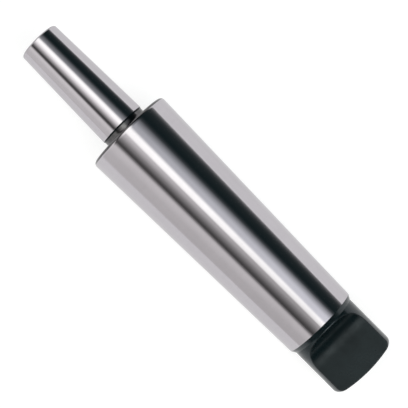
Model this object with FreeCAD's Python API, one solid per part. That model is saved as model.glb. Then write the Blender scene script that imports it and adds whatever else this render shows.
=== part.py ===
import FreeCAD
import Part
import math
import os

# Drill chuck arbor: one bar of steel, turned, milled at the tang and ground on both tapers.
# A long self-holding taper (size 5) fits the drill spindle, and the flat tang behind it
# keys into the spindle's drive slot. A short taper spigot (size B24) in front of the
# shoulder carries the drill chuck, and a relief groove parts the two.
#
# Frame, in millimetres: the origin is on the axis at the shank's gauge plane, +X points
# along the axis towards the spigot, and +Z is square to the tang's flats.

# Shank taper
SHANK_GAUGE_DIAMETER = 44.399
SHANK_TAPER = 1.0 / 19.002
SHOULDER_FROM_GAUGE = 6.5
SHANK_LENGTH = 126.6
SHOULDER_ROUNDING = 2.0
END_CHAMFER_ANGLE = 30.0

# Tang
TANG_DIAMETER = 35.3
TANG_THICKNESS = 15.9
TANG_LENGTH = 31.7
TANG_FLAT_LENGTH = 17.0
RUN_OUT_RADIUS = 12.0
TANG_DOME_RADIUS = 70.0
TANG_CORNER_RADIUS = 3.3
TANG_EDGE_ROUNDING = 0.3

# Spigot taper
SPIGOT_GAUGE_DIAMETER = 23.825
SPIGOT_TAPER = 1.0 / 19.922
SPIGOT_GAUGE_FROM_SHOULDER = 5.0
SPIGOT_LENGTH = 58.7
SPIGOT_EDGE_BREAK = 0.6

# Relief groove between spigot and shoulder
NECK_WIDTH = 3.5
NECK_DIAMETER = 23.2
NECK_CORNER = 0.2
NECK_FILLET = 1.5

# Centre hole in each end, for turning and grinding between centres
CENTRE_MOUTH_DIAMETER = 8.5
CENTRE_PILOT_DIAMETER = 4.0
CENTRE_ANGLE = 60.0
CENTRE_DEPTH = 8.6
DRILL_POINT_ANGLE = 118.0

# Places along the axis that follow from the sizes above
X_SHOULDER = SHOULDER_FROM_GAUGE
X_SHANK_END = X_SHOULDER - SHANK_LENGTH
X_TANG_TIP = X_SHANK_END - TANG_LENGTH
X_FLAT_END = X_TANG_TIP + TANG_FLAT_LENGTH
X_NECK = X_SHOULDER + NECK_WIDTH
X_SPIGOT_TIP = X_SHOULDER + SPIGOT_LENGTH

ORIGIN = FreeCAD.Vector(0, 0, 0)
AXIS = FreeCAD.Vector(1, 0, 0)
ACROSS = FreeCAD.Vector(0, 1, 0)
UP = FreeCAD.Vector(0, 0, 1)
FULL_TURN = 360.0

# Sine of the largest angle between two directions that count as parallel
PARALLEL = 1e-6


def at(x, radius):
    """Point of a turned outline: its place along the axis and its distance from it, drawn along +Y."""
    return FreeCAD.Vector(x, radius, 0)


def shank_radius(x):
    """Radius of the shank taper at a place along the axis."""
    return (SHANK_GAUGE_DIAMETER + x * SHANK_TAPER) / 2


def spigot_radius(x):
    """Radius of the spigot taper at a place along the axis."""
    from_gauge = x - X_SHOULDER - SPIGOT_GAUGE_FROM_SHOULDER
    return (SPIGOT_GAUGE_DIAMETER - from_gauge * SPIGOT_TAPER) / 2


def dome_x(radius):
    """Place along the axis of the tang's domed end at a distance from the axis."""
    return X_TANG_TIP + TANG_DOME_RADIUS - math.sqrt(TANG_DOME_RADIUS**2 - radius**2)


def rounding(before, corner, after, radius):
    """Arc of the given radius, tangent to both legs of a corner, and its two ends."""
    leg_in = (before - corner).normalize()
    leg_out = (after - corner).normalize()
    half_angle = leg_in.getAngle(leg_out) / 2
    setback = radius / math.tan(half_angle)
    start = corner + leg_in * setback
    end = corner + leg_out * setback
    to_centre = (leg_in + leg_out).normalize()
    middle = corner + to_centre * (radius / math.sin(half_angle) - radius)
    return start, Part.Arc(start, middle, end).toShape(), end


def line(start, end):
    """Straight edge of an outline."""
    return Part.LineSegment(start, end).toShape()


def turned(edges):
    """Solid made by turning a closed outline about the axis."""
    return Part.Face(Part.Wire(edges)).revolve(ORIGIN, AXIS, FULL_TURN)


def spigot_and_neck_outline():
    """Edges from the spigot's tip on the axis to the shank's small end, and that last point."""
    tip_edge = X_SPIGOT_TIP - SPIGOT_EDGE_BREAK
    neck_radius = NECK_DIAMETER / 2
    tip_centre = at(X_SPIGOT_TIP, 0)
    face_edge = at(X_SPIGOT_TIP, spigot_radius(X_SPIGOT_TIP) - SPIGOT_EDGE_BREAK)
    taper_start = at(tip_edge, spigot_radius(tip_edge))
    taper_end = at(X_NECK, spigot_radius(X_NECK))
    groove_corner = at(X_NECK, neck_radius)
    shoulder_foot = at(X_SHOULDER, neck_radius)
    shoulder_corner = at(X_SHOULDER, shank_radius(X_SHOULDER))
    shank_end = at(X_SHANK_END, shank_radius(X_SHANK_END))

    wall_end, corner_arc, floor_start = rounding(taper_end, groove_corner, shoulder_foot, NECK_CORNER)
    floor_end, fillet_arc, face_start = rounding(groove_corner, shoulder_foot, shoulder_corner, NECK_FILLET)
    face_end, shoulder_arc, shank_start = rounding(shoulder_foot, shoulder_corner, shank_end, SHOULDER_ROUNDING)
    edges = [
        line(tip_centre, face_edge),
        line(face_edge, taper_start),
        line(taper_start, taper_end),
        line(taper_end, wall_end),
        corner_arc,
        line(floor_start, floor_end),
        fillet_arc,
        line(face_start, face_end),
        shoulder_arc,
        line(shank_start, shank_end),
    ]
    return edges, shank_end


def tang_outline(shank_end):
    """Edges from the shank's small end over the chamfer, tang and dome to the axis."""
    tang_radius = TANG_DIAMETER / 2
    chamfer_length = (shank_end.y - tang_radius) / math.tan(math.radians(END_CHAMFER_ANGLE))
    tang_start = at(X_SHANK_END - chamfer_length, tang_radius)

    # The corner arc touches the tang's side and, from inside, the dome
    dome_centre = at(X_TANG_TIP + TANG_DOME_RADIUS, 0)
    corner_height = tang_radius - TANG_CORNER_RADIUS
    to_corner = TANG_DOME_RADIUS - TANG_CORNER_RADIUS
    corner_centre = dome_centre + at(-math.sqrt(to_corner**2 - corner_height**2), corner_height)
    outward = (corner_centre - dome_centre).normalize()
    corner_start = corner_centre + at(0, TANG_CORNER_RADIUS)
    corner_end = dome_centre + outward * TANG_DOME_RADIUS
    halfway = (outward + at(0, 1)).normalize()
    corner_middle = corner_centre + halfway * TANG_CORNER_RADIUS
    dome_middle = at(dome_x(corner_end.y / 2), corner_end.y / 2)
    tip = at(X_TANG_TIP, 0)
    return [
        line(shank_end, tang_start),
        line(tang_start, corner_start),
        Part.Arc(corner_start, corner_middle, corner_end).toShape(),
        Part.Arc(corner_end, dome_middle, tip).toShape(),
    ]


def centre_hole(x_mouth, inward):
    """Centre drill's cone, pilot and point, cut from x_mouth in the direction inward (+1 or -1)."""
    mouth_radius = CENTRE_MOUTH_DIAMETER / 2
    pilot_radius = CENTRE_PILOT_DIAMETER / 2
    cone_slope = math.tan(math.radians(CENTRE_ANGLE / 2))
    cone_depth = (mouth_radius - pilot_radius) / cone_slope
    point_length = pilot_radius / math.tan(math.radians(DRILL_POINT_ANGLE / 2))
    clearance = pilot_radius
    outside = at(x_mouth - inward * clearance, 0)
    rim = at(outside.x, mouth_radius + clearance * cone_slope)
    cone_end = at(x_mouth + inward * cone_depth, pilot_radius)
    pilot_end = at(x_mouth + inward * CENTRE_DEPTH, pilot_radius)
    point = at(pilot_end.x + inward * point_length, 0)
    return turned([
        line(outside, rim),
        line(rim, cone_end),
        line(cone_end, pilot_end),
        line(pilot_end, point),
        line(point, outside),
    ])


def milling_cut(side):
    """Material that the cutter takes off one side of the tang; side is +1 or -1 along Z."""
    floor = TANG_THICKNESS / 2
    above = floor + RUN_OUT_RADIUS + TANG_DIAMETER
    beyond = X_TANG_TIP - TANG_DIAMETER
    half_width = TANG_DIAMETER
    run_out_end = X_FLAT_END + RUN_OUT_RADIUS
    arc_centre = FreeCAD.Vector(X_FLAT_END, -half_width, floor + RUN_OUT_RADIUS)
    eighth = RUN_OUT_RADIUS * math.sqrt(0.5)
    corners = [
        FreeCAD.Vector(beyond, -half_width, above),
        FreeCAD.Vector(beyond, -half_width, floor),
        FreeCAD.Vector(X_FLAT_END, -half_width, floor),
        FreeCAD.Vector(run_out_end, -half_width, floor + RUN_OUT_RADIUS),
        FreeCAD.Vector(run_out_end, -half_width, above),
    ]
    arc_middle = arc_centre + FreeCAD.Vector(eighth, 0, -eighth)
    outline = [
        line(corners[0], corners[1]),
        line(corners[1], corners[2]),
        Part.Arc(corners[2], arc_middle, corners[3]).toShape(),
        line(corners[3], corners[4]),
        line(corners[4], corners[0]),
    ]
    cut = Part.Face(Part.Wire(outline)).extrude(FreeCAD.Vector(0, 2 * half_width, 0))
    if side < 0:
        cut = cut.mirror(ORIGIN, UP)
    return cut


def is_milled(face):
    """Whether a face was left by the cutter: a flat square to Z, or a run-out about a line along Y."""
    surface = face.Surface
    if isinstance(surface, Part.Plane):
        return surface.Axis.cross(UP).Length < PARALLEL
    return isinstance(surface, Part.Cylinder) and surface.Axis.cross(ACROSS).Length < PARALLEL


def milled_edges(solid):
    """Edges where a milled face meets a turned one."""
    found = []
    for edge in solid.Edges:
        faces = solid.ancestorsOfType(edge, Part.Face)
        if len(faces) == 2 and is_milled(faces[0]) != is_milled(faces[1]):
            found.append(edge)
    return found


def arbor():
    """The whole arbor as one solid."""
    front, shank_end = spigot_and_neck_outline()
    rear = tang_outline(shank_end)
    axis_line = line(at(X_TANG_TIP, 0), at(X_SPIGOT_TIP, 0))
    body = turned(front + rear + [axis_line])
    for side in (1, -1):
        body = body.cut(milling_cut(side))
    body = body.cut(centre_hole(X_SPIGOT_TIP, -1))
    body = body.cut(centre_hole(dome_x(CENTRE_MOUTH_DIAMETER / 2), 1))
    return body.makeFillet(TANG_EDGE_ROUNDING, milled_edges(body)).Solids[0]


os.makedirs("parts", exist_ok=True)
arbor().exportStep("parts/arbor.step")
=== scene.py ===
"""Looks of a drill chuck arbor: one bar of steel with two ground tapers and a blackened tang.

The arbor's surface is worked out with numpy as one closed mesh, which stands for the plain solid.
Lengths are in millimetres until a mesh is made. The frame is the part's own: +X along the axis
towards the spigot, +Z square to the tang's flats, and the origin at the shank's gauge plane.
"""

import logging
import math
from dataclasses import dataclass, field
from enum import IntEnum

import bpy
import numpy as np
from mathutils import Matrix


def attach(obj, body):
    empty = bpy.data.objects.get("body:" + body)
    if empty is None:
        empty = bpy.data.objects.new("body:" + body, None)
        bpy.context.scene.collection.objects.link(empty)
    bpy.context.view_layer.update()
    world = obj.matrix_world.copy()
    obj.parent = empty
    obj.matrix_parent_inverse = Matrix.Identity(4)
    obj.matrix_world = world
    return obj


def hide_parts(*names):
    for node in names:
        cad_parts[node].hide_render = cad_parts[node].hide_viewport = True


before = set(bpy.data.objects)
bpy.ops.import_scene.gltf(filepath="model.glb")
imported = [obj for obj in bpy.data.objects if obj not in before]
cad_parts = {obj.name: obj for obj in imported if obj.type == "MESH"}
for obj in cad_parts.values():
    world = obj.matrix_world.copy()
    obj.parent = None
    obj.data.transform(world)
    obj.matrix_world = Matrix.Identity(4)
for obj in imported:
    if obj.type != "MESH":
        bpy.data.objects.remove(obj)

log = logging.getLogger("arbor")

MM = 0.001
PICTURE_WIDTH = 408

# Distances in mm from the ends of a straight leg at which it gets extra points, and the largest
# share of the leg that such a distance may be
NEAR_ENDS = (0.12, 0.5, 2.0)
NEAR_SHARE = 0.4

# An arc has the first number of steps below this radius in mm, and otherwise the second
SMALL_ROUNDING = 0.5
ARC_STEPS = (4, 12)

# Length in mm below which two places count as one
SAME_PLACE = 1e-6

# Rings of the tang: as shares of the round side's length before the run-out, in mm from the
# run-out's edge, in mm from the flat's end edge, and as shares of the way from there to the mouth
SIDE_SHARES = (0.0, 0.06, 0.2, 0.4, 0.6, 0.74, 0.84, 0.91, 0.96)
RUN_OUT_RINGS = (0.0, 0.06, 0.13, 0.21, 0.3, 0.45, 0.7, 1.0, 1.4, 1.8, 2.3, 2.9, 3.6, 4.4, 5.3, 6.3,
                 7.4, 8.5, 9.6, 10.7, 11.8, 12.6, 14.0, 16.0, 18.5, 21.0, 23.5, 25.5, 26.8, 27.5)
END_RINGS = (0.45, 0.3, 0.21, 0.13, 0.06)
RING_GAP = 0.15
HEAD_SHARES = (0.0, 0.006, 0.014, 0.022, 0.032, 0.048, 0.075)


class Skin(IntEnum):
    """Surface finishes of the arbor, in the order of its material slots."""

    GROUND = 0
    TURNED = 1
    BLACKENED = 2
    MILLED = 3
    DULLED = 4


# Outlines that are turned about the axis


@dataclass(frozen=True)
class Corner:
    """One corner of a turned outline and the straight leg that follows it."""

    x: float
    radius: float
    rounding: float
    leg: Skin
    arc: Skin

    def point(self) -> np.ndarray:
        """Place along the axis and distance from it."""
        return np.array([self.x, self.radius])


def unit(vector: np.ndarray) -> np.ndarray:
    """The vector at length one."""
    return vector / np.linalg.norm(vector)


def rounded(before: np.ndarray, corner: np.ndarray, after: np.ndarray, radius: float,
            steps: int) -> np.ndarray:
    """Arc tangent to both legs of a corner.

    With a half angle h between the legs, the arc's ends lie radius / tan(h) from the corner and
    its centre radius / sin(h) along the bisector. Between the two arms a and b, which are w
    apart, a point is centre + (sin((1 - t) w) a + sin(t w) b) / sin(w) for t from 0 to 1.

    Args:
        before: a point on the leg that comes in.
        corner: the sharp corner.
        after: a point on the leg that goes out.
        radius: the arc's radius.
        steps: how many pieces the arc has.

    Returns:
        Array of (steps + 1, 2) points.
    """
    leg_in, leg_out = unit(before - corner), unit(after - corner)
    half = math.acos(np.clip(leg_in @ leg_out, -1.0, 1.0)) / 2
    centre = corner + unit(leg_in + leg_out) * radius / math.sin(half)
    arm_in = corner + leg_in * radius / math.tan(half) - centre
    arm_out = corner + leg_out * radius / math.tan(half) - centre
    sweep = math.pi - 2 * half
    t = np.linspace(0.0, 1.0, steps + 1)[:, None]
    return centre + (np.sin((1 - t) * sweep) * arm_in + np.sin(t * sweep) * arm_out) / math.sin(sweep)


def straight(start: np.ndarray, end: np.ndarray, spacing: float) -> np.ndarray:
    """Inner points of a straight leg, close together near its ends so that shading stays true.

    The distances from each end are those of NEAR_ENDS where the leg is long enough, and between
    them the points are evenly spread.

    Args:
        start: the leg's first point, which isn't repeated.
        end: the leg's last point, which isn't repeated.
        spacing: the largest distance between two points.

    Returns:
        Array of (n, 2) points.
    """
    length = float(np.linalg.norm(end - start))
    near = np.array(NEAR_ENDS)
    near = near[near < NEAR_SHARE * length]
    inner = near[-1] if near.size else 0.0
    count = max(int(np.ceil((length - 2 * inner) / spacing)), 1)
    even = np.linspace(inner, length - inner, count + 1)
    along = np.unique(np.concatenate([near, even, length - near]))
    along = along[(along > SAME_PLACE) & (along < length - SAME_PLACE)]
    return start + (along / length)[:, None] * (end - start)


def outline(corners: list[Corner], spacing: float) -> tuple[np.ndarray, np.ndarray]:
    """Points of a turned outline with rounded corners.

    Args:
        corners: the outline's corners in order; the first and last aren't rounded.
        spacing: the largest distance between two points of a straight leg.

    Returns:
        Array of (n, 2) points, and for each the skin of the band that follows it.
    """
    points = [corners[0].point()[None, :]]
    skins = [[corners[0].leg]]
    for before, corner, after in zip(corners, corners[1:], corners[2:]):
        steps = ARC_STEPS[0] if corner.rounding < SMALL_ROUNDING else ARC_STEPS[1]
        arc = rounded(before.point(), corner.point(), after.point(), corner.rounding, steps)
        leg = straight(points[-1][-1], arc[0], spacing)
        points += [leg, arc]
        skins += [[before.leg] * len(leg), [corner.arc] * steps, [corner.leg]]
    leg = straight(points[-1][-1], corners[-1].point(), spacing)
    points += [leg, corners[-1].point()[None, :]]
    skins += [[corners[-2].leg] * len(leg), [corners[-1].leg]]
    return np.concatenate(points), np.concatenate(skins).astype(int)


@dataclass(frozen=True)
class CentreHole:
    """Centre drilled hole: a 60 degree cone, a pilot and the drill's point."""

    mouth_radius: float = 4.25
    pilot_radius: float = 2.0
    depth: float = 8.6
    cone_half_angle: float = math.radians(30.0)
    point_half_angle: float = math.radians(59.0)
    edge: float = 0.1

    def corners(self, x_mouth: float, inward: int, skin: Skin) -> list[Corner]:
        """Corners from the drill's point out to the mouth.

        Args:
            x_mouth: place of the mouth along the axis.
            inward: +1 or -1, the direction along X into the metal.
            skin: the hole's finish.

        Returns:
            The corners, the pole on the axis first and the mouth last.
        """
        cone = (self.mouth_radius - self.pilot_radius) / math.tan(self.cone_half_angle)
        point = self.pilot_radius / math.tan(self.point_half_angle)
        return [
            Corner(x_mouth + inward * (self.depth + point), 0.0, 0.0, skin, skin),
            Corner(x_mouth + inward * self.depth, self.pilot_radius, self.edge, skin, skin),
            Corner(x_mouth + inward * cone, self.pilot_radius, self.edge, skin, skin),
            Corner(x_mouth, self.mouth_radius, self.edge, skin, skin),
        ]


@dataclass(frozen=True)
class Shank:
    """Long taper that fits the drill spindle, with the shoulder in front of it."""

    gauge_diameter: float = 44.399
    taper: float = 1.0 / 19.002
    shoulder_x: float = 6.5
    length: float = 126.6
    shoulder_rounding: float = 2.0
    dull_rim: float = 1.1
    chamfer_angle: float = math.radians(30.0)
    edge: float = 0.12

    def end_x(self) -> float:
        """Place of the shank's small end."""
        return self.shoulder_x - self.length

    def radius(self, x: float) -> float:
        """Radius of the taper at x, half of gauge diameter + x * taper."""
        return (self.gauge_diameter + x * self.taper) / 2

    def corners(self, tang_radius: float) -> list[Corner]:
        """Corners of the shoulder, the taper and the chamfer down to the tang's radius.

        Args:
            tang_radius: radius of the tang's round side.

        Returns:
            The corners, the shoulder's rounding first.
        """
        front = self.radius(self.shoulder_x)
        end = self.radius(self.end_x())
        chamfer = (end - tang_radius) / math.tan(self.chamfer_angle)
        black = Skin.BLACKENED
        return [
            Corner(self.shoulder_x, front, self.shoulder_rounding, Skin.GROUND, Skin.DULLED),
            Corner(self.end_x(), end, self.edge, black, black),
            Corner(self.end_x() - chamfer, tang_radius, self.edge, black, black),
        ]


@dataclass(frozen=True)
class Spigot:
    """Short taper that carries the chuck, with the relief groove behind it."""

    gauge_diameter: float = 23.825
    taper: float = 1.0 / 19.922
    gauge_from_shoulder: float = 5.0
    length: float = 58.7
    edge_break: float = 0.6
    groove_width: float = 3.5
    groove_diameter: float = 23.2
    groove_corner: float = 0.2
    groove_fillet: float = 1.5
    # Width of black oxide beside the groove's wall, made dark and wide also as painted shade of the undercut
    # line there
    black_rest_and_shade: float = 0.45
    edge: float = 0.12

    def corners(self, shoulder_x: float) -> list[Corner]:
        """Corners from the spigot's end face back to the foot of the shoulder.

        Args:
            shoulder_x: place of the shoulder's face.

        Returns:
            The corners, the end face's chamfer first.
        """
        tip = shoulder_x + self.length
        groove = shoulder_x + self.groove_width
        gauge = shoulder_x + self.gauge_from_shoulder
        at_tip, at_edge, at_groove = (
            (self.gauge_diameter - (x - gauge) * self.taper) / 2 for x in (tip, tip - self.edge_break, groove)
        )
        floor = self.groove_diameter / 2
        return [
            Corner(tip, at_tip - self.edge_break, self.edge, Skin.TURNED, Skin.TURNED),
            Corner(tip - self.edge_break, at_edge, self.edge, Skin.GROUND, Skin.GROUND),
            # The groove's wall and its corner are black oxide, dark also as painted shade of the undercut
            # beside the spigot's end
            Corner(groove, at_groove, self.edge, Skin.MILLED, Skin.GROUND),
            Corner(groove, floor, self.groove_corner, Skin.DULLED, Skin.MILLED),
            Corner(shoulder_x, floor, self.groove_fillet, Skin.DULLED, Skin.DULLED),
        ]


@dataclass(frozen=True)
class Tang:
    """Tang behind the shank: a round bar with a domed end, milled flat on two sides."""

    radius: float = 17.65
    half_thickness: float = 7.95
    length: float = 31.7
    flat_length: float = 17.0
    run_out: float = 12.0
    dome: float = 70.0
    corner: float = 3.3
    edge: float = 0.3
    end_rings: int = 22
    lines_low: int = 18
    lines_high: int = 42
    beside_edge: tuple[float, ...] = (0.06, 0.13, 0.21, 0.3, 0.45, 0.7)

    def edge_angle(self) -> float:
        """Angle about the axis at which the flats meet the round sides."""
        return math.asin(self.half_thickness / self.radius)

    def angles(self) -> np.ndarray:
        """Angles of the mesh's lines about the axis, close together beside the flats' edges.

        One quarter holds even steps, the edge itself and companions at 0.06 to 0.7 mm on either
        side of it. The other three quarters are its mirror images.

        Returns:
            The angles of a full turn, in radians.
        """
        edge = self.edge_angle()
        beside = np.array(self.beside_edge) / self.radius
        low = np.linspace(0.0, edge - beside[-1], self.lines_low)[:-1]
        high = np.linspace(edge + beside[-1], math.pi / 2, self.lines_high)[1:]
        quarter = np.concatenate([low, edge - beside[::-1], [edge], edge + beside, high])
        half = np.concatenate([quarter, math.pi - quarter[-2::-1]])
        return np.concatenate([half, math.pi + half[1:-1]])


@dataclass(frozen=True)
class TangSection:
    """The tang's turned outline, its milled outline and the rounded body between them."""

    tang: Tang
    flat_end: float
    tip: float

    def dome_centre(self) -> float:
        """Place of the dome's centre on the axis."""
        return self.tip + self.tang.dome

    def corner_centre(self) -> np.ndarray:
        """Centre of the corner arc, which touches the side and the dome from inside.

        Returns:
            Place along the axis and distance from it.
        """
        height = self.tang.radius - self.tang.corner
        reach = self.tang.dome - self.tang.corner
        return np.array([self.dome_centre() - math.sqrt(reach**2 - height**2), height])

    def corner_sweep(self) -> float:
        """Angle of the corner arc, from the side's normal to the dome's."""
        return math.acos((self.corner_centre()[1]) / (self.tang.dome - self.tang.corner))

    def end_point(self, along: np.ndarray) -> tuple[np.ndarray, np.ndarray]:
        """Point of the end outline at a distance along it, from the side over the corner and dome.

        On the corner arc the angle is a = s / corner, and on the dome the angle from the axis
        falls by (s - corner * sweep) / dome.

        Args:
            along: distances along the outline from the start of the corner arc.

        Returns:
            Places along the axis and distances from it.
        """
        tang, sweep, centre = self.tang, self.corner_sweep(), self.corner_centre()
        turn = np.minimum(along / tang.corner, sweep)
        x = centre[0] - tang.corner * np.sin(turn)
        radius = centre[1] + tang.corner * np.cos(turn)
        fall = math.pi / 2 - sweep - (along - tang.corner * sweep) / tang.dome
        on_dome = along > tang.corner * sweep
        x = np.where(on_dome, self.dome_centre() - tang.dome * np.cos(fall), x)
        return x, np.where(on_dome, tang.dome * np.sin(fall), radius)

    def end_distance(self, radius: np.ndarray) -> np.ndarray:
        """Distance along the end outline at which it has a radius, the inverse of end_point.

        Args:
            radius: distances from the axis.

        Returns:
            Distances along the outline from the start of the corner arc.
        """
        tang, sweep, centre = self.tang, self.corner_sweep(), self.corner_centre()
        turn = np.arccos(np.clip((radius - centre[1]) / tang.corner, -1.0, 1.0))
        fall = np.arcsin(np.clip(radius / tang.dome, -1.0, 1.0))
        on_dome = tang.corner * sweep + (math.pi / 2 - sweep - fall) * tang.dome
        return np.where(turn > sweep, on_dome, tang.corner * turn)

    def milled_height(self, x: np.ndarray) -> np.ndarray:
        """Height of the milled surface: the flat, then the cutter's circle h + R - sqrt(R^2 - dx^2).

        Args:
            x: places along the axis.

        Returns:
            Heights above the axis.
        """
        past = np.clip(x - self.flat_end, 0.0, self.tang.run_out)
        rise = self.tang.run_out - np.sqrt(self.tang.run_out**2 - past**2)
        return self.tang.half_thickness + rise

    def run_out_edge(self, sine: np.ndarray) -> np.ndarray:
        """Place where the run-out leaves the round side: dx = sqrt(R^2 - (R - (r |sin| - h))^2)."""
        above = np.clip(self.tang.radius * sine - self.tang.half_thickness, 0.0, None)
        return self.flat_end + np.sqrt(self.tang.run_out**2 - (self.tang.run_out - above) ** 2)

    def distances(self, points: np.ndarray) -> tuple[np.ndarray, np.ndarray]:
        """Signed distances to the turned body and to the milled one, negative inside.

        Args:
            points: array of (..., 3) points.

        Returns:
            The two arrays of distances.
        """
        tang, centre = self.tang, self.corner_centre()
        x, height = points[..., 0], np.abs(points[..., 2])
        radius = np.hypot(points[..., 1], points[..., 2])
        turn = np.arctan2(centre[0] - x, radius - centre[1])
        side = radius - tang.radius
        corner = np.hypot(x - centre[0], radius - centre[1]) - tang.corner
        dome = np.hypot(x - self.dome_centre(), radius) - tang.dome
        turned = np.where(x > centre[0], side, np.where(turn > self.corner_sweep(), dome, corner))
        flat = height - tang.half_thickness
        cutter = tang.run_out - np.hypot(x - self.flat_end, height - tang.half_thickness - tang.run_out)
        return turned, np.where(x > self.flat_end, cutter, flat)

    def rounded_distance(self, points: np.ndarray) -> np.ndarray:
        """Signed distance to the body with its milled edges rounded.

        With the two distances a and b and the rounding r it is
        min(-r, max(a, b)) + hypot(max(a + r, 0), max(b + r, 0)).

        Args:
            points: array of (..., 3) points.

        Returns:
            The distances, negative inside.
        """
        turned, milled = self.distances(points)
        r = self.tang.edge
        outside = np.hypot(np.maximum(turned + r, 0.0), np.maximum(milled + r, 0.0))
        return np.minimum(-r, np.maximum(turned, milled)) + outside

    def settle(self, points: np.ndarray, passes: int = 5, step: float = 1e-4) -> np.ndarray:
        """Moves points onto the rounded body by the steps p - d grad(d) / |grad(d)|^2.

        Args:
            points: array of (..., 3) points.
            passes: how many steps are made.
            step: offset in mm over which the slope is taken.

        Returns:
            The points in their new places.
        """
        for _ in range(passes):
            distance = self.rounded_distance(points)
            shifts = np.eye(3) * step
            slope = np.stack([
                (self.rounded_distance(points + s) - self.rounded_distance(points - s)) / (2 * step)
                for s in shifts
            ], axis=-1)
            square = np.maximum((slope**2).sum(-1), 0.25)
            points = points - (distance / square)[..., None] * slope
        return points

    def relax(self, points: np.ndarray, theta: np.ndarray, passes: int = 24) -> np.ndarray:
        """Evens out the grid where the flats' side edges turn into the run-out's or the end edge.

        There the rings run almost along the lines. Each pass moves a point part of the way to
        the mean of its four neighbours and settles it on the body again. With the distances x
        along the axis and s round it from those places, in mm, the part falls off as
        exp(-(x^2 / reach^2 + s^2)).

        Args:
            points: array of (rings, lines, 3) points.
            theta: the lines' angles about the axis.
            passes: how many times the points move.

        Returns:
            The points in their new places.
        """
        beside = np.abs(np.arcsin(np.abs(np.sin(theta))) - self.tang.edge_angle()) * self.tang.radius
        past_flat, past_corner = 1.5, 0.5
        largest_part, reach = 0.7, 3.0
        turns = np.array([self.flat_end + past_flat, self.corner_centre()[0] - past_corner])
        along = np.abs(points[..., 0, None] - turns).min(axis=-1)
        part = largest_part * np.exp(-(along**2 / reach**2 + beside**2))[..., None]
        part[[0, -1]] = 0.0
        for _ in range(passes):
            rows = np.concatenate([points[:1], points, points[-1:]])
            mean = (rows[:-2] + rows[2:] + np.roll(points, 1, axis=1) + np.roll(points, -1, axis=1)) / 4
            points = self.settle(points + part * (mean - points), passes=2)
        return points

    def edge_nearness(self, points: np.ndarray, width: float) -> np.ndarray:
        """How near a point is to a milled edge: exp(-(a^2 + b^2) / width^2) of the two distances."""
        turned, milled = self.distances(points)
        return np.exp(-(turned**2 + milled**2) / width**2)

    def skins(self, rings: np.ndarray) -> np.ndarray:
        """Skin of each face of the tang: milled where its middle is nearer to the milled surface.

        Args:
            rings: array of (rings, lines, 3) points.

        Returns:
            Array of (rings - 1, lines) skins.
        """
        across = rings + np.roll(rings, -1, axis=1)
        turned, milled = self.distances((across[:-1] + across[1:]) / 4)
        return np.where(np.abs(milled) < np.abs(turned), int(Skin.MILLED), int(Skin.BLACKENED))

    def slants(self, theta: np.ndarray) -> tuple[np.ndarray, np.ndarray]:
        """How much longer a step along X must be than a step square to each edge, for every line.

        Beside the flats' side edges, at a distance s, the run-out's edge climbs at
        dx / ds = sqrt(R cos / 2 s) and the flat's end edge at sqrt(c cot / 2 s), with the
        cutter's radius R and the corner's radius c. The step grows by sqrt(1 + (dx / ds)^2).

        Args:
            theta: the lines' angles about the axis.

        Returns:
            The two growths, for the run-out's edge and for the flat's end edge.
        """
        edge = self.tang.edge_angle()
        least = 0.04  # mm, keeps the growth finite on the edge itself
        beside = np.abs(np.arcsin(np.abs(np.sin(theta))) - edge) * self.tang.radius + least
        climb = np.sqrt(self.tang.run_out * math.cos(edge) / (2 * beside))
        climb_end = np.sqrt(self.tang.corner / math.tan(edge) / (2 * beside))
        fade = np.abs(np.cos(theta))
        return np.hypot(1.0, climb * fade), np.hypot(1.0, climb_end * fade)

    def rings(self, start_x: float, mouth_radius: float) -> np.ndarray:
        """Grid of points over the tang, ring by ring from its thick end to the dome's mouth.

        The rings bend so that one lies on the run-out's upper edge and one on the flat's end
        edge. Between the two, a point's height is the milled surface's and its width runs evenly
        from one edge to the other.

        Args:
            start_x: place where the round side starts.
            mouth_radius: radius at which the dome ends.

        Returns:
            Array of (rings, lines, 3) points.
        """
        tang = self.tang
        theta = tang.angles()
        cosine, sine = np.cos(theta), np.sin(theta)
        cut = np.abs(sine) > math.sin(tang.edge_angle()) + 1e-9
        edge_x = self.run_out_edge(np.abs(sine))
        safe = np.maximum(np.abs(sine), math.sin(tang.edge_angle()))
        edge_along = self.end_distance(tang.half_thickness / safe)
        end_x, _ = self.end_point(edge_along)
        slant, slant_end = self.slants(theta)

        # Round side before the run-out
        share = np.array(SIDE_SHARES)[:, None]
        x = start_x + share * (edge_x - start_x)
        before = np.stack([x, tang.radius * cosine + 0 * x, tang.radius * sine + 0 * x], axis=-1)

        # Milled surface, or the round side beside it, with close rings at both edges
        far = edge_x.max() - end_x.min()
        near = np.array(RUN_OUT_RINGS)
        tail = far - np.array(END_RINGS)
        share = np.concatenate([near[near < tail[0] - RING_GAP], tail])[:, None] / far
        share = share ** (1 + np.log(slant) / math.log(near[1] / far))
        share = 1 - (1 - share) ** (1 + np.log(slant_end) / math.log(near[1] / far))
        x = edge_x + share * (end_x - edge_x)
        end_y = tang.half_thickness / np.tan(np.where(cut, theta, math.pi / 4))
        width = tang.radius * cosine
        y = np.where(cut, width + share * (np.sign(sine) * end_y - width), width)
        z = np.where(cut, np.sign(sine) * self.milled_height(x), tang.radius * sine)
        milled = np.stack([x, y + 0 * x, z + 0 * x], axis=-1)

        # Corner and dome, from the flat's end edge to the mouth
        total = float(self.end_distance(np.array(mouth_radius)))
        head = np.array(HEAD_SHARES)
        share = np.concatenate([head, np.linspace(head[-1], 1.0, tang.end_rings)[1:]])[:, None]
        share = share ** (1 + np.log(slant_end) / math.log(head[1]))
        x, radius = self.end_point(edge_along + share * (total - edge_along))
        end = np.stack([x, radius * cosine, radius * sine], axis=-1)
        return self.relax(self.settle(np.concatenate([before, milled, end])), theta)


# The whole surface


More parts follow.
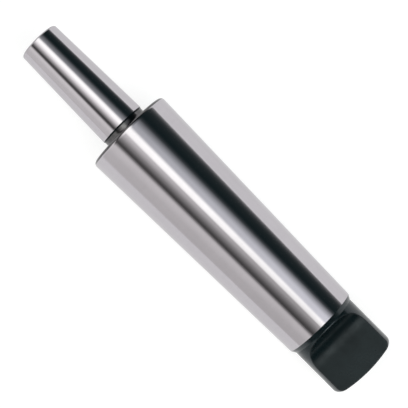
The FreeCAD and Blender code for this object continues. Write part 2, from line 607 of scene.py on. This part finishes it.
@dataclass
class Surface:
    """A closed grid surface: a pole, rings of points round the axis, and a second pole."""

    rings: np.ndarray
    skins: np.ndarray
    poles: np.ndarray
    wear_and_highlight: np.ndarray

    def mesh(self, name: str) -> bpy.types.Mesh:
        """Blender mesh with outward faces, a finish on each band and each point's edge wear and painted
        highlight.

        Args:
            name: the mesh's name.

        Returns:
            The mesh, in metres.
        """
        count, lines = self.rings.shape[:2]
        points = np.concatenate([self.poles[:1], self.rings.reshape(-1, 3), self.poles[1:]]) * MM
        here = np.arange(lines)
        after = np.roll(here, -1)
        ring = 1 + np.arange(count - 1)[:, None] * lines
        quads = np.stack([ring + here, ring + lines + here, ring + lines + after, ring + after], axis=-1)
        last = 1 + (count - 1) * lines
        first_fan = np.stack([np.zeros(lines, int), 1 + here, 1 + after], axis=-1)
        last_fan = np.stack([last + here, np.full(lines, last + lines), last + after], axis=-1)
        mesh = bpy.data.meshes.new(name)
        faces = first_fan.tolist() + quads.reshape(-1, 4).tolist() + last_fan.tolist()
        mesh.from_pydata(points.tolist(), [], faces)
        mesh.polygons.foreach_set("material_index", self.skins.ravel().astype(np.int32))
        mesh.polygons.foreach_set("use_smooth", np.ones(len(faces), bool))
        worn_and_lit = mesh.attributes.new("wear_and_highlight", "FLOAT", "POINT")
        worn_and_lit.data.foreach_set("value", np.concatenate([[0.0], self.wear_and_highlight.ravel(), [0.0]]).astype(np.float32))
        mesh.update()
        mesh.validate()
        return mesh


@dataclass
class Arbor:
    """The whole arbor: spigot, groove, shank and tang as one piece of steel."""

    shank: Shank = field(default_factory=Shank)
    spigot: Spigot = field(default_factory=Spigot)
    tang: Tang = field(default_factory=Tang)
    centre: CentreHole = field(default_factory=CentreHole)
    ring_spacing: float = 3.0
    # Width in mm of the lightened band at the tang's milled edges: rubbed wear and a painted highlight
    wear_and_highlight_width: float = 0.4

    def front(self) -> tuple[np.ndarray, np.ndarray]:
        """Outline from the spigot's centre hole to the start of the tang's round side.

        Returns:
            Array of (n, 2) points, and for each the skin of the band that follows it.
        """
        corners = self.centre.corners(self.shank.shoulder_x + self.spigot.length, -1, Skin.TURNED)
        corners += self.spigot.corners(self.shank.shoulder_x)
        corners += self.shank.corners(self.tang.radius)
        start_x = corners[-1].x - self.shank.edge / 2
        start = Corner(start_x, self.tang.radius, 0.0, Skin.BLACKENED, Skin.BLACKENED)
        points, skins = outline(corners + [start], self.ring_spacing)

        # The wheel that ground the shank ran over the shoulder's rounding, all but its rim
        behind = self.shank.shoulder_x - points[:, 0]
        ground = (behind > self.shank.dull_rim) & (skins == Skin.DULLED)
        skins = np.where(ground, int(Skin.GROUND), skins)

        # Black oxide left in the groove's corner, where the wheel didn't reach, which is also painted shade
        # of the undercut there
        from_wall = behind + self.spigot.groove_width
        rest = (from_wall > -SAME_PLACE) & (from_wall < self.spigot.black_rest_and_shade)
        return points, np.where(rest, int(Skin.MILLED), skins)

    def back(self, section: TangSection) -> np.ndarray:
        """Outline from the dome, just outside the centre hole's mouth, to the hole's pole.

        Args:
            section: the tang's outlines.

        Returns:
            Array of (n, 2) points.
        """
        outer = self.centre.mouth_radius + self.centre.edge
        dome_x, _ = section.end_point(section.end_distance(np.array([self.centre.mouth_radius, outer])))
        start = Corner(float(dome_x[1]), outer, 0.0, Skin.BLACKENED, Skin.BLACKENED)
        corners = self.centre.corners(float(dome_x[0]), 1, Skin.BLACKENED)[::-1]
        return outline([start] + corners, self.ring_spacing)[0]

    def surface(self) -> Surface:
        """The arbor's surface, from the pole in one centre hole to the pole in the other.

        Returns:
            The surface, in mm.
        """
        tip = self.shank.end_x() - self.tang.length
        section = TangSection(self.tang, tip + self.tang.flat_length, tip)
        theta = self.tang.angles()
        front, front_skins = self.front()
        back = self.back(section)
        tang_rings = section.rings(float(front[-1, 0]), float(back[0, 1]))
        before, after = self.turn(front[1:-1], theta), self.turn(back[1:-1], theta)
        rings = np.concatenate([before, tang_rings, after])
        # Lightened band at the milled edges: rubbed wear, and a painted highlight of their rounding
        worn_and_lit = section.edge_nearness(tang_rings, self.wear_and_highlight_width)
        wear_and_highlight = np.concatenate([np.zeros(before.shape[:2]), worn_and_lit, np.zeros(after.shape[:2])])
        skins = np.full((len(rings) + 1, len(theta)), int(Skin.BLACKENED))
        skins[: len(front_skins) - 1] = front_skins[:-1, None]
        skins[len(before) + 1 : len(before) + len(tang_rings)] = section.skins(tang_rings)
        poles = np.array([[front[0, 0], 0.0, 0.0], [back[-1, 0], 0.0, 0.0]])
        return Surface(rings, skins, poles, wear_and_highlight)

    @staticmethod
    def turn(points: np.ndarray, theta: np.ndarray) -> np.ndarray:
        """Rings of an outline turned about the axis: (x, r cos, r sin) for each angle."""
        x, radius = points[:, :1], points[:, 1:]
        return np.stack([x + 0 * theta, radius * np.cos(theta), radius * np.sin(theta)], axis=-1)

    def build(self, finishes: list[bpy.types.Material]) -> bpy.types.Object:
        """Makes the piece, dresses it and sets it in the part's place.

        Args:
            finishes: one material for each skin, in their order.

        Returns:
            The piece.
        """
        piece = bpy.data.objects.new("arbor_steel", self.surface().mesh("arbor_steel"))
        bpy.context.scene.collection.objects.link(piece)
        for finish in finishes:
            piece.data.materials.append(finish)
        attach(piece, "root")
        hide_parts("arbor")
        return piece


# Effects that several finishes share


class Effects:
    """Node groups that are built once and placed in each finish with its own values."""

    def __init__(self) -> None:
        """Builds the groups."""
        self.marks = self.tool_marks()
        self.mottle = self.mottling()
        # Lighter edges: rubbed wear and a painted highlight
        self.rub_and_highlight = self.rubbed_edge_and_highlight()

    @staticmethod
    def group(name: str, inputs: dict[str, float | None],
              outputs: dict[str, str]) -> bpy.types.ShaderNodeTree:
        """An empty group with its sockets.

        Args:
            name: the group's name.
            inputs: default of each input, or None for a vector.
            outputs: socket type of each output.

        Returns:
            The group, with its input and output nodes named in and out.
        """
        tree = bpy.data.node_groups.new(name, "ShaderNodeTree")
        for socket, value in inputs.items():
            kind = "NodeSocketVector" if value is None else "NodeSocketFloat"
            made = tree.interface.new_socket(socket, in_out="INPUT", socket_type=kind)
            if value is not None:
                made.default_value = value
        for socket, kind in outputs.items():
            tree.interface.new_socket(socket, in_out="OUTPUT", socket_type=kind)
        tree.nodes.new("NodeGroupInput").name = "in"
        tree.nodes.new("NodeGroupOutput").name = "out"
        return tree

    @staticmethod
    def math_node(tree: bpy.types.NodeTree, operation: str, first: float | bpy.types.NodeSocket,
                  second: float | bpy.types.NodeSocket) -> bpy.types.NodeSocket:
        """Adds a Math node fed by sockets or numbers.

        Args:
            tree: the nodes that it is added to.
            operation: the node's operation.
            first: its first value.
            second: its second value.

        Returns:
            The node's output.
        """
        node = tree.nodes.new("ShaderNodeMath")
        node.operation = operation
        for socket, value in zip(node.inputs, (first, second)):
            if isinstance(value, (int, float)):
                socket.default_value = value
            else:
                tree.links.new(value, socket)
        return node.outputs[0]

    @staticmethod
    def noise(tree: bpy.types.NodeTree, vector: bpy.types.NodeSocket,
              scale: float | bpy.types.NodeSocket, detail: float) -> bpy.types.NodeSocket:
        """Adds a noise texture.

        Args:
            tree: the nodes that it is added to.
            vector: the place at which it is read.
            scale: its scale.
            detail: how many finer layers it has.

        Returns:
            Its value.
        """
        node = tree.nodes.new("ShaderNodeTexNoise")
        node.inputs["Detail"].default_value = detail
        tree.links.new(vector, node.inputs["Vector"])
        if isinstance(scale, (int, float)):
            node.inputs["Scale"].default_value = scale
        else:
            tree.links.new(scale, node.inputs["Scale"])
        return node.outputs["Fac"]

    @classmethod
    def tool_marks(cls) -> bpy.types.ShaderNodeTree:
        """Fine lines round the axis, left by a wheel or a tool that moves along it.

        The place along X is stretched by Lines Per Metre and the other two by Around, so the
        noise changes fast along the axis and slowly round it.

        Returns:
            The group.
        """
        inputs = {"Vector": None, "Lines Per Metre": 2500.0, "Around": 40.0}
        tree = cls.group("tool_marks", inputs, {"Height": "NodeSocketFloat"})
        into, out = tree.nodes["in"], tree.nodes["out"]
        split = tree.nodes.new("ShaderNodeSeparateXYZ")
        join = tree.nodes.new("ShaderNodeCombineXYZ")
        tree.links.new(into.outputs["Vector"], split.inputs[0])
        for axis, scale in (("X", "Lines Per Metre"), ("Y", "Around"), ("Z", "Around")):
            scaled = cls.math_node(tree, "MULTIPLY", split.outputs[axis], into.outputs[scale])
            tree.links.new(scaled, join.inputs[axis])
        tree.links.new(cls.noise(tree, join.outputs[0], 1.0, 3.0), out.inputs["Height"])
        return tree

    @classmethod
    def mottling(cls) -> bpy.types.ShaderNodeTree:
        """Cloudy variation from Low to High, made of two sizes of noise.

        Returns:
            The group.
        """
        inputs = {"Vector": None, "Scale": 150.0, "Low": 0.9, "High": 1.1}
        tree = cls.group("mottling", inputs, {"Value": "NodeSocketFloat"})
        into, out = tree.nodes["in"], tree.nodes["out"]
        coarse = cls.noise(tree, into.outputs["Vector"], into.outputs["Scale"], 4.0)
        fine_scale = cls.math_node(tree, "MULTIPLY", into.outputs["Scale"], 5.0)
        fine = cls.noise(tree, into.outputs["Vector"], fine_scale, 2.0)
        coarse_part = cls.math_node(tree, "MULTIPLY", coarse, 0.7)
        fine_part = cls.math_node(tree, "MULTIPLY", fine, 0.3)
        total = cls.math_node(tree, "ADD", coarse_part, fine_part)
        spread = tree.nodes.new("ShaderNodeMapRange")
        for name, value in (("From Min", 0.35), ("From Max", 0.65)):
            spread.inputs[name].default_value = value
        tree.links.new(total, spread.inputs["Value"])
        tree.links.new(into.outputs["Low"], spread.inputs["To Min"])
        tree.links.new(into.outputs["High"], spread.inputs["To Max"])
        tree.links.new(spread.outputs["Result"], out.inputs["Value"])
        return tree

    @classmethod
    def rubbed_edge_and_highlight(cls) -> bpy.types.ShaderNodeTree:
        """Mask of the places where handling has rubbed an edge, also a painted highlight of the rounded
        edges, broken up by noise.

        Returns:
            The group.
        """
        tree = cls.group(
            "rubbed_edge_and_highlight", {"Vector": None, "Nearness": 0.0, "Amount": 0.5}, {"Mask": "NodeSocketFloat"},
        )
        into, out = tree.nodes["in"], tree.nodes["out"]
        patches = cls.math_node(tree, "MULTIPLY", cls.noise(tree, into.outputs["Vector"], 420.0, 3.0), 1.6)
        broken = cls.math_node(tree, "MULTIPLY", into.outputs["Nearness"], patches)
        worn_and_lit = cls.math_node(tree, "MULTIPLY", broken, into.outputs["Amount"])
        tree.links.new(cls.math_node(tree, "MINIMUM", worn_and_lit, 1.0), out.inputs["Mask"])
        return tree


@dataclass(frozen=True)
class SteelFinish:
    """A finish of the steel: its colour, gloss, tool marks, clouds and rubbed edges that also carry a painted
    highlight.
    """

    name: str
    color: tuple[float, float, float]
    metallic: float
    roughness: float
    specular: float
    clouds: float
    cloud_scale: float
    marks_per_metre: float
    marks_depth: float
    streaks: float
    edge_tint: tuple[float, float, float] = (0.85, 0.85, 0.85)
    # Lighter colour at the milled edges: rubbed wear and a painted highlight of their rounding
    rub_and_highlight: float = 0.0
    rub_and_highlight_color: tuple[float, float, float] = (0.1, 0.1, 0.105)

    def make(self, effects: Effects) -> bpy.types.Material:
        """Builds the material.

        Args:
            effects: the shared node groups.

        Returns:
            The material.
        """
        material = bpy.data.materials.new(self.name)
        material.use_nodes = True
        tree = material.node_tree
        shader = tree.nodes["Principled BSDF"]
        shader.inputs["Metallic"].default_value = self.metallic
        shader.inputs["Specular IOR Level"].default_value = self.specular
        shader.inputs["Specular Tint"].default_value = (*self.edge_tint, 1.0)
        place = tree.nodes.new("ShaderNodeTexCoord").outputs["Object"]

        clouds = self.place(tree, effects.mottle, place, {
            "Scale": self.cloud_scale, "Low": 1 - self.clouds, "High": 1 + self.clouds,
        }).outputs["Value"]
        lines = {"Lines Per Metre": self.marks_per_metre}
        marks = self.place(tree, effects.marks, place, lines).outputs["Height"]
        centred = Effects.math_node(tree, "SUBTRACT", marks, 0.5)
        streak = Effects.math_node(tree, "MULTIPLY", centred, self.streaks)
        tint = tree.nodes.new("ShaderNodeVectorMath")
        tint.operation = "SCALE"
        tint.inputs[0].default_value = self.color
        tree.links.new(Effects.math_node(tree, "ADD", clouds, streak), tint.inputs["Scale"])
        base = tint.outputs[0]
        if self.rub_and_highlight:
            base = self.rubbed_and_highlighted(tree, effects, place, base)
        tree.links.new(base, shader.inputs["Base Color"])
        tree.links.new(Effects.math_node(tree, "DIVIDE", self.roughness, clouds), shader.inputs["Roughness"])

        bump = tree.nodes.new("ShaderNodeBump")
        bump.inputs["Distance"].default_value = self.marks_depth * MM
        tree.links.new(marks, bump.inputs["Height"])
        tree.links.new(bump.outputs["Normal"], shader.inputs["Normal"])
        return material

    def rubbed_and_highlighted(self, tree: bpy.types.NodeTree, effects: Effects, place: bpy.types.NodeSocket,
               base: bpy.types.NodeSocket) -> bpy.types.NodeSocket:
        """Mixes the lighter rubbed colour in at the edges that the mesh marks, as wear and as a painted
        highlight.

        Args:
            tree: the material's nodes.
            effects: the shared node groups.
            place: the object coordinates.
            base: the colour so far.

        Returns:
            The mixed colour.
        """
        worn_and_lit = tree.nodes.new("ShaderNodeAttribute")
        worn_and_lit.attribute_name = "wear_and_highlight"
        mask = self.place(tree, effects.rub_and_highlight, place, {"Amount": self.rub_and_highlight})
        tree.links.new(worn_and_lit.outputs["Fac"], mask.inputs["Nearness"])
        mix = tree.nodes.new("ShaderNodeMix")
        mix.data_type = "RGBA"
        tree.links.new(mask.outputs["Mask"], mix.inputs["Factor"])
        tree.links.new(base, mix.inputs["A"])
        mix.inputs["B"].default_value = (*self.rub_and_highlight_color, 1.0)
        return mix.outputs["Result"]

    @staticmethod
    def place(tree: bpy.types.NodeTree, group: bpy.types.ShaderNodeTree, vector: bpy.types.NodeSocket,
              values: dict[str, float]) -> bpy.types.Node:
        """Places a shared group in a material with this finish's values.

        Args:
            tree: the material's nodes.
            group: the shared group.
            vector: the place at which it is read.
            values: its other inputs by name.

        Returns:
            The group's node.
        """
        node = tree.nodes.new("ShaderNodeGroup")
        node.node_tree = group
        tree.links.new(vector, node.inputs["Vector"])
        for name, value in values.items():
            node.inputs[name].default_value = value
        return node


FINISHES = {
    Skin.GROUND: SteelFinish(
        "ground_steel", (0.490, 0.467, 0.495), metallic=1.0, roughness=0.11, specular=0.5, clouds=0.02,
        cloud_scale=60.0, marks_per_metre=2500.0, marks_depth=0.002, streaks=0.05,
    ),
    Skin.TURNED: SteelFinish(
        "turned_steel", (0.40, 0.385, 0.40), metallic=1.0, roughness=0.24, specular=0.5, clouds=0.05,
        cloud_scale=120.0, marks_per_metre=1200.0, marks_depth=0.004, streaks=0.12,
    ),
    Skin.BLACKENED: SteelFinish(
        "black_oxide", (0.0036, 0.0088, 0.0104), metallic=0.0, roughness=0.22, specular=0.38, clouds=0.3,
        cloud_scale=260.0, marks_per_metre=1500.0, marks_depth=0.002, streaks=0.2,
        edge_tint=(0.88, 1.0, 1.08), rub_and_highlight=0.15,
    ),
    Skin.MILLED: SteelFinish(
        "milled_black_oxide", (0.0040, 0.0088, 0.0102), metallic=0.0, roughness=0.31, specular=0.155,
        clouds=0.3, cloud_scale=60.0, marks_per_metre=900.0, marks_depth=0.002, streaks=0.2,
        edge_tint=(0.92, 1.0, 1.04), rub_and_highlight=0.15,
    ),
    Skin.DULLED: SteelFinish(
        "dulled_steel", (0.11, 0.107, 0.11), metallic=1.0, roughness=0.15, specular=0.5, clouds=0.2,
        cloud_scale=300.0, marks_per_metre=1500.0, marks_depth=0.01, streaks=0.5,
    ),
}


# The studio


def smooth(value: np.ndarray, low: float | np.ndarray, high: float | np.ndarray) -> np.ndarray:
    """Smooth step from 0 at low to 1 at high: 3 t^2 - 2 t^3 with t = (value - low) / (high - low)."""
    t = np.clip((value - low) / (high - low), 0.0, 1.0)
    return t * t * (3 - 2 * t)


@dataclass(frozen=True)
class LightTent:
    """Canopy over the table, seen only in reflections: a strip lamp, grey falls beside it and cards.

    A place on it is given by two angles in degrees: across, from straight up towards +Y, and
    along, from straight up towards +X. Levels are in units of the white room's brightness.
    """

    radius: float = 3.0
    centre: tuple[float, float, float] = (-0.043, 0.0, 0.0)
    across: tuple[float, float] = (-88.0, 96.0)
    steps: tuple[int, int] = (185, 121)
    lamp_tint: tuple[float, float, float] = (0.985, 1.0, 0.955)
    left_tint: tuple[float, float, float] = (0.97, 1.0, 1.035)
    right_tint: tuple[float, float, float] = (1.01, 1.0, 0.98)
    dark_tint: tuple[float, float, float] = (0.38, 1.0, 1.15)

    def left(self, across: np.ndarray, along: np.ndarray) -> np.ndarray:
        """Fall on the -Y side of the lamp, brighter towards the tang, with a soft outer edge.

        Args:
            across: angles towards +Y, in degrees.
            along: angles towards +X, in degrees.

        Returns:
            The levels.
        """
        level = np.interp(along, [-10.0, 1.0, 10.0], [1.15, 0.78, 0.37])
        outer = np.interp(along, [-10.0, 1.0], [-44.0, -41.2])
        rise = np.clip((across - outer) / 20.0, 0.0, 1.0)
        return level * (0.95 * rise + 0.05 * smooth(across, outer - 8.0, outer))

    def right(self, across: np.ndarray, along: np.ndarray) -> np.ndarray:
        """Fall on the +Y side of the lamp, brighter towards the spigot, straight down to the dark line."""
        level = np.interp(along, [-10.0, 1.0, 10.0], [0.55, 0.93, 1.40])
        return level * np.clip((36.0 - across) / 23.5, 0.0, 1.0) ** 1.3

    def lamp(self, across: np.ndarray, along: np.ndarray) -> tuple[np.ndarray, np.ndarray]:
        """Cover and brightness of the strip lamp, whose edges are softer over the spigot.

        Args:
            across: angles towards +Y, in degrees.
            along: angles towards +X, in degrees.

        Returns:
            The cover from 0 to 1, and the level inside the lamp.
        """
        spigot = smooth(along, 2.0, 8.0)
        late = 1.2 * (1 - smooth(along, -10.0, 0.0))
        rise = smooth(across, -14.2 - 5.5 * spigot + late, -4.9)
        fall = smooth(across, 5.6 - 3.0 * spigot - 0.7 * late, 9.2 + 4.5 * spigot - late)
        level = np.interp(along, [-10.0, -3.0], [1.69, 2.06])
        return rise * (1 - fall), level - np.interp(along, [-10.0, -3.0], [0.045, 0.012]) * across

    def side(self, across: np.ndarray, along: np.ndarray) -> np.ndarray:
        """White card on the +Y side, a little darker in its lower half and towards the tang.

        Args:
            across: angles towards +Y, in degrees.
            along: angles towards +X, in degrees.

        Returns:
            The levels.
        """
        shifted = across - 3.0 * smooth(along, 2.0, 8.0)
        angles = [37.0, 41.0, 47.0, 52.0, 60.0, 70.0, 96.0]
        card = np.interp(shifted, angles, [0.0, 0.2, 0.91, 0.94, 0.87, 0.77, 0.73])
        return card * np.interp(along, [-10.0, 1.0, 10.0], [0.92, 1.0, 1.10])

    def glow(self, across: np.ndarray, along: np.ndarray) -> np.ndarray:
        """Colour of the tent by the two angles.

        Args:
            across: angles towards +Y, in degrees.
            along: angles towards +X, in degrees.

        Returns:
            Array of the angles' shape with a colour at each place.
        """
        tail = np.interp(along, [-24.0, -12.0], [2.7, 1.0])
        reach = smooth(along, -54.0, -42.0) * (1 - smooth(along, 75.0, 90.0)) * tail
        cover, lamp = self.lamp(across, np.maximum(along, -10.0))
        falls = np.where(across < -2.0, self.left(across, along), self.right(across, along))
        low = np.interp(across, [-88.0, -84.0, -78.0, -70.0, -52.0], [0.34, 0.16, 0.05, 0.018, 0.004])
        dark = 0.018 + 0.054 * smooth(across, 20.0, 36.0)
        warm = smooth(across, -10.0, 10.0)[..., None]
        lamp_tint, left_tint, right_tint, dark_tint = (
            np.array(tint) for tint in (self.lamp_tint, self.left_tint, self.right_tint, self.dark_tint)
        )
        fall_tint = left_tint + warm * (right_tint - left_tint)
        side = low + self.side(across, along) * (0.05 + 0.95 * smooth(along, -48.0, -30.0))
        low_tint = dark_tint + warm * (right_tint - dark_tint)
        beside_lamp, in_lamp = reach * (1 - cover) * falls, reach * cover * lamp
        above = beside_lamp[..., None] * fall_tint + in_lamp[..., None] * lamp_tint
        return above + side[..., None] * right_tint + dark[..., None] * low_tint

    def build(self) -> bpy.types.Object:
        """Makes the canopy as a grid on a sphere, with its colour as an attribute.

        A point lies at centre + radius * (sin b, cos b sin a, cos b cos a), with the angle a
        across and b along.

        Returns:
            The canopy.
        """
        across = np.linspace(*self.across, self.steps[0])[:, None] + np.zeros(self.steps[1])
        along = np.linspace(-90.0, 90.0, self.steps[1]) + np.zeros((self.steps[0], 1))
        a, b = np.radians(across), np.radians(along)
        points = self.radius * np.stack([np.sin(b), np.cos(b) * np.sin(a), np.cos(b) * np.cos(a)], axis=-1)
        tent = grid_object("light_tent", points + np.array(self.centre), self.glow(across, along))
        tent.data.materials.append(self.material())
        tent.visible_camera = False
        return tent

    @staticmethod
    def material() -> bpy.types.Material:
        """Plain glow with the colour that the mesh carries.

        Returns:
            The material.
        """
        material = bpy.data.materials.new("tent_glow")
        material.use_nodes = True
        tree = material.node_tree
        tree.nodes.remove(tree.nodes["Principled BSDF"])
        glow = tree.nodes.new("ShaderNodeAttribute")
        glow.attribute_name = "glow"
        emission = tree.nodes.new("ShaderNodeEmission")
        tree.links.new(glow.outputs["Color"], emission.inputs["Color"])
        tree.links.new(emission.outputs[0], tree.nodes["Material Output"].inputs["Surface"])
        return material


def grid_object(name: str, points: np.ndarray, glow: np.ndarray) -> bpy.types.Object:
    """Object from a grid of points with a colour at each.

    Args:
        name: the object's name.
        points: array of (rows, columns, 3) points, in metres.
        glow: array of (rows, columns, 3) colours.

    Returns:
        The object.
    """
    rows, columns = points.shape[:2]
    index = np.arange(rows * columns).reshape(rows, columns)
    faces = np.stack([index[:-1, :-1], index[1:, :-1], index[1:, 1:], index[:-1, 1:]], axis=-1)
    mesh = bpy.data.meshes.new(name)
    mesh.from_pydata(points.reshape(-1, 3).tolist(), [], faces.reshape(-1, 4).tolist())
    mesh.polygons.foreach_set("use_smooth", np.ones(len(mesh.polygons), bool))
    colors = np.concatenate([glow, np.ones((rows, columns, 1))], axis=-1).astype(np.float32)
    mesh.attributes.new("glow", "FLOAT_COLOR", "POINT").data.foreach_set("color", colors.ravel())
    mesh.update()
    made = bpy.data.objects.new(name, mesh)
    bpy.context.scene.collection.objects.link(made)
    return made


@dataclass(frozen=True)
class Table:
    """White table that the shank lies on along its lowest line: z = height + slope * x.

    Towards +Y it ends where the side card stands. Its lift grows from near the arbor, where the
    tent lights it, to far away, so that it runs into the white room without an edge.
    """

    height: float = -22.1995
    slope: float = -0.026313
    length: tuple[float, float] = (-4000.0, 4000.0)
    width: tuple[float, float] = (-4000.0, 210.0)
    steps: tuple[int, int] = (161, 85)
    cover: float = 0.3
    lift: float = 0.80
    far_lift: float = 0.92
    near: float = 300.0
    far: float = 900.0

    def build(self) -> bpy.types.Object:
        """Makes the table top, seen from above only, so its faces point up.

        Returns:
            The table top.
        """
        x, y = np.meshgrid(
            np.linspace(*self.length, self.steps[0]), np.linspace(*self.width, self.steps[1]), indexing="ij",
        )
        points = np.stack([x, y, self.height + self.slope * x], axis=-1) * MM
        lift = self.lift + (self.far_lift - self.lift) * smooth(np.hypot(x, y), self.near, self.far)
        table = grid_object("table_top", points, lift[..., None] * np.ones(3))
        table.data.materials.append(self.material())
        return table

    def material(self) -> bpy.types.Material:
        """White surface, lifted to white with its shadow where a camera, a gloss or a glass sees it.

        Returns:
            The material.
        """
        material = bpy.data.materials.new("white_table")
        material.use_nodes = True
        tree = material.node_tree
        tree.nodes.remove(tree.nodes["Principled BSDF"])
        path = tree.nodes.new("ShaderNodeLightPath").outputs
        seen = Effects.math_node(tree, "ADD", path["Is Camera Ray"], path["Is Glossy Ray"])
        seen = Effects.math_node(tree, "ADD", seen, path["Is Transmission Ray"])
        glow = tree.nodes.new("ShaderNodeAttribute")
        glow.attribute_name = "glow"
        lift = tree.nodes.new("ShaderNodeEmission")
        tree.links.new(glow.outputs["Color"], lift.inputs["Color"])
        tree.links.new(seen, lift.inputs["Strength"])
        cover = tree.nodes.new("ShaderNodeBsdfDiffuse")
        cover.inputs["Color"].default_value = (self.cover, self.cover, self.cover, 1.0)
        both = tree.nodes.new("ShaderNodeAddShader")
        tree.links.new(cover.outputs[0], both.inputs[0])
        tree.links.new(lift.outputs[0], both.inputs[1])
        clear = tree.nodes.new("ShaderNodeBsdfTransparent")
        side = tree.nodes.new("ShaderNodeMixShader")
        tree.links.new(tree.nodes.new("ShaderNodeNewGeometry").outputs["Backfacing"], side.inputs[0])
        tree.links.new(both.outputs[0], side.inputs[1])
        tree.links.new(clear.outputs[0], side.inputs[2])
        tree.links.new(side.outputs[0], tree.nodes["Material Output"].inputs["Surface"])
        return material


@dataclass(frozen=True)
class Studio:
    """White room, light tent, table and the camera that looks straight down."""

    tent: LightTent = field(default_factory=LightTent)
    table: Table = field(default_factory=Table)
    camera_place: tuple[float, float, float] = (-43.07, -0.9, 641.0)
    camera_turn: float = 225.04
    focal_pixels: float = 1373.0
    sensor: float = 36.0

    def build(self) -> None:
        """Sets the room's light, the stage and the camera."""
        scene = bpy.context.scene
        scene.view_settings.view_transform = "Standard"
        world = bpy.data.worlds.new("white_room")
        world.use_nodes = True
        background = world.node_tree.nodes["Background"]
        background.inputs["Color"].default_value = (1.0, 1.0, 1.0, 1.0)
        background.inputs["Strength"].default_value = 1.0
        scene.world = world
        self.tent.build()
        self.table.build()
        scene.camera = self.camera()

    def camera(self) -> bpy.types.Object:
        """Camera above the arbor, turned so that the spigot points to the upper left.

        Returns:
            The camera.
        """
        lens = bpy.data.cameras.new("camera")
        lens.sensor_width = self.sensor
        lens.lens = self.sensor * self.focal_pixels / PICTURE_WIDTH
        lens.clip_start, lens.clip_end = 0.05, 20.0
        camera = bpy.data.objects.new("camera", lens)
        camera.location = [v * MM for v in self.camera_place]
        camera.rotation_euler = (0.0, 0.0, math.radians(self.camera_turn))
        bpy.context.scene.collection.objects.link(camera)
        return camera


def main() -> None:
    """Builds the arbor and its studio."""
    logging.basicConfig(level=logging.INFO, format="%(name)s: %(message)s")
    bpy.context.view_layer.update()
    effects = Effects()
    finishes = [FINISHES[skin].make(effects) for skin in Skin]
    piece = Arbor().build(finishes)
    log.info("%s: %d points, %d faces", piece.name, len(piece.data.vertices), len(piece.data.polygons))
    Studio().build()


if __name__ == "__main__":
    main()
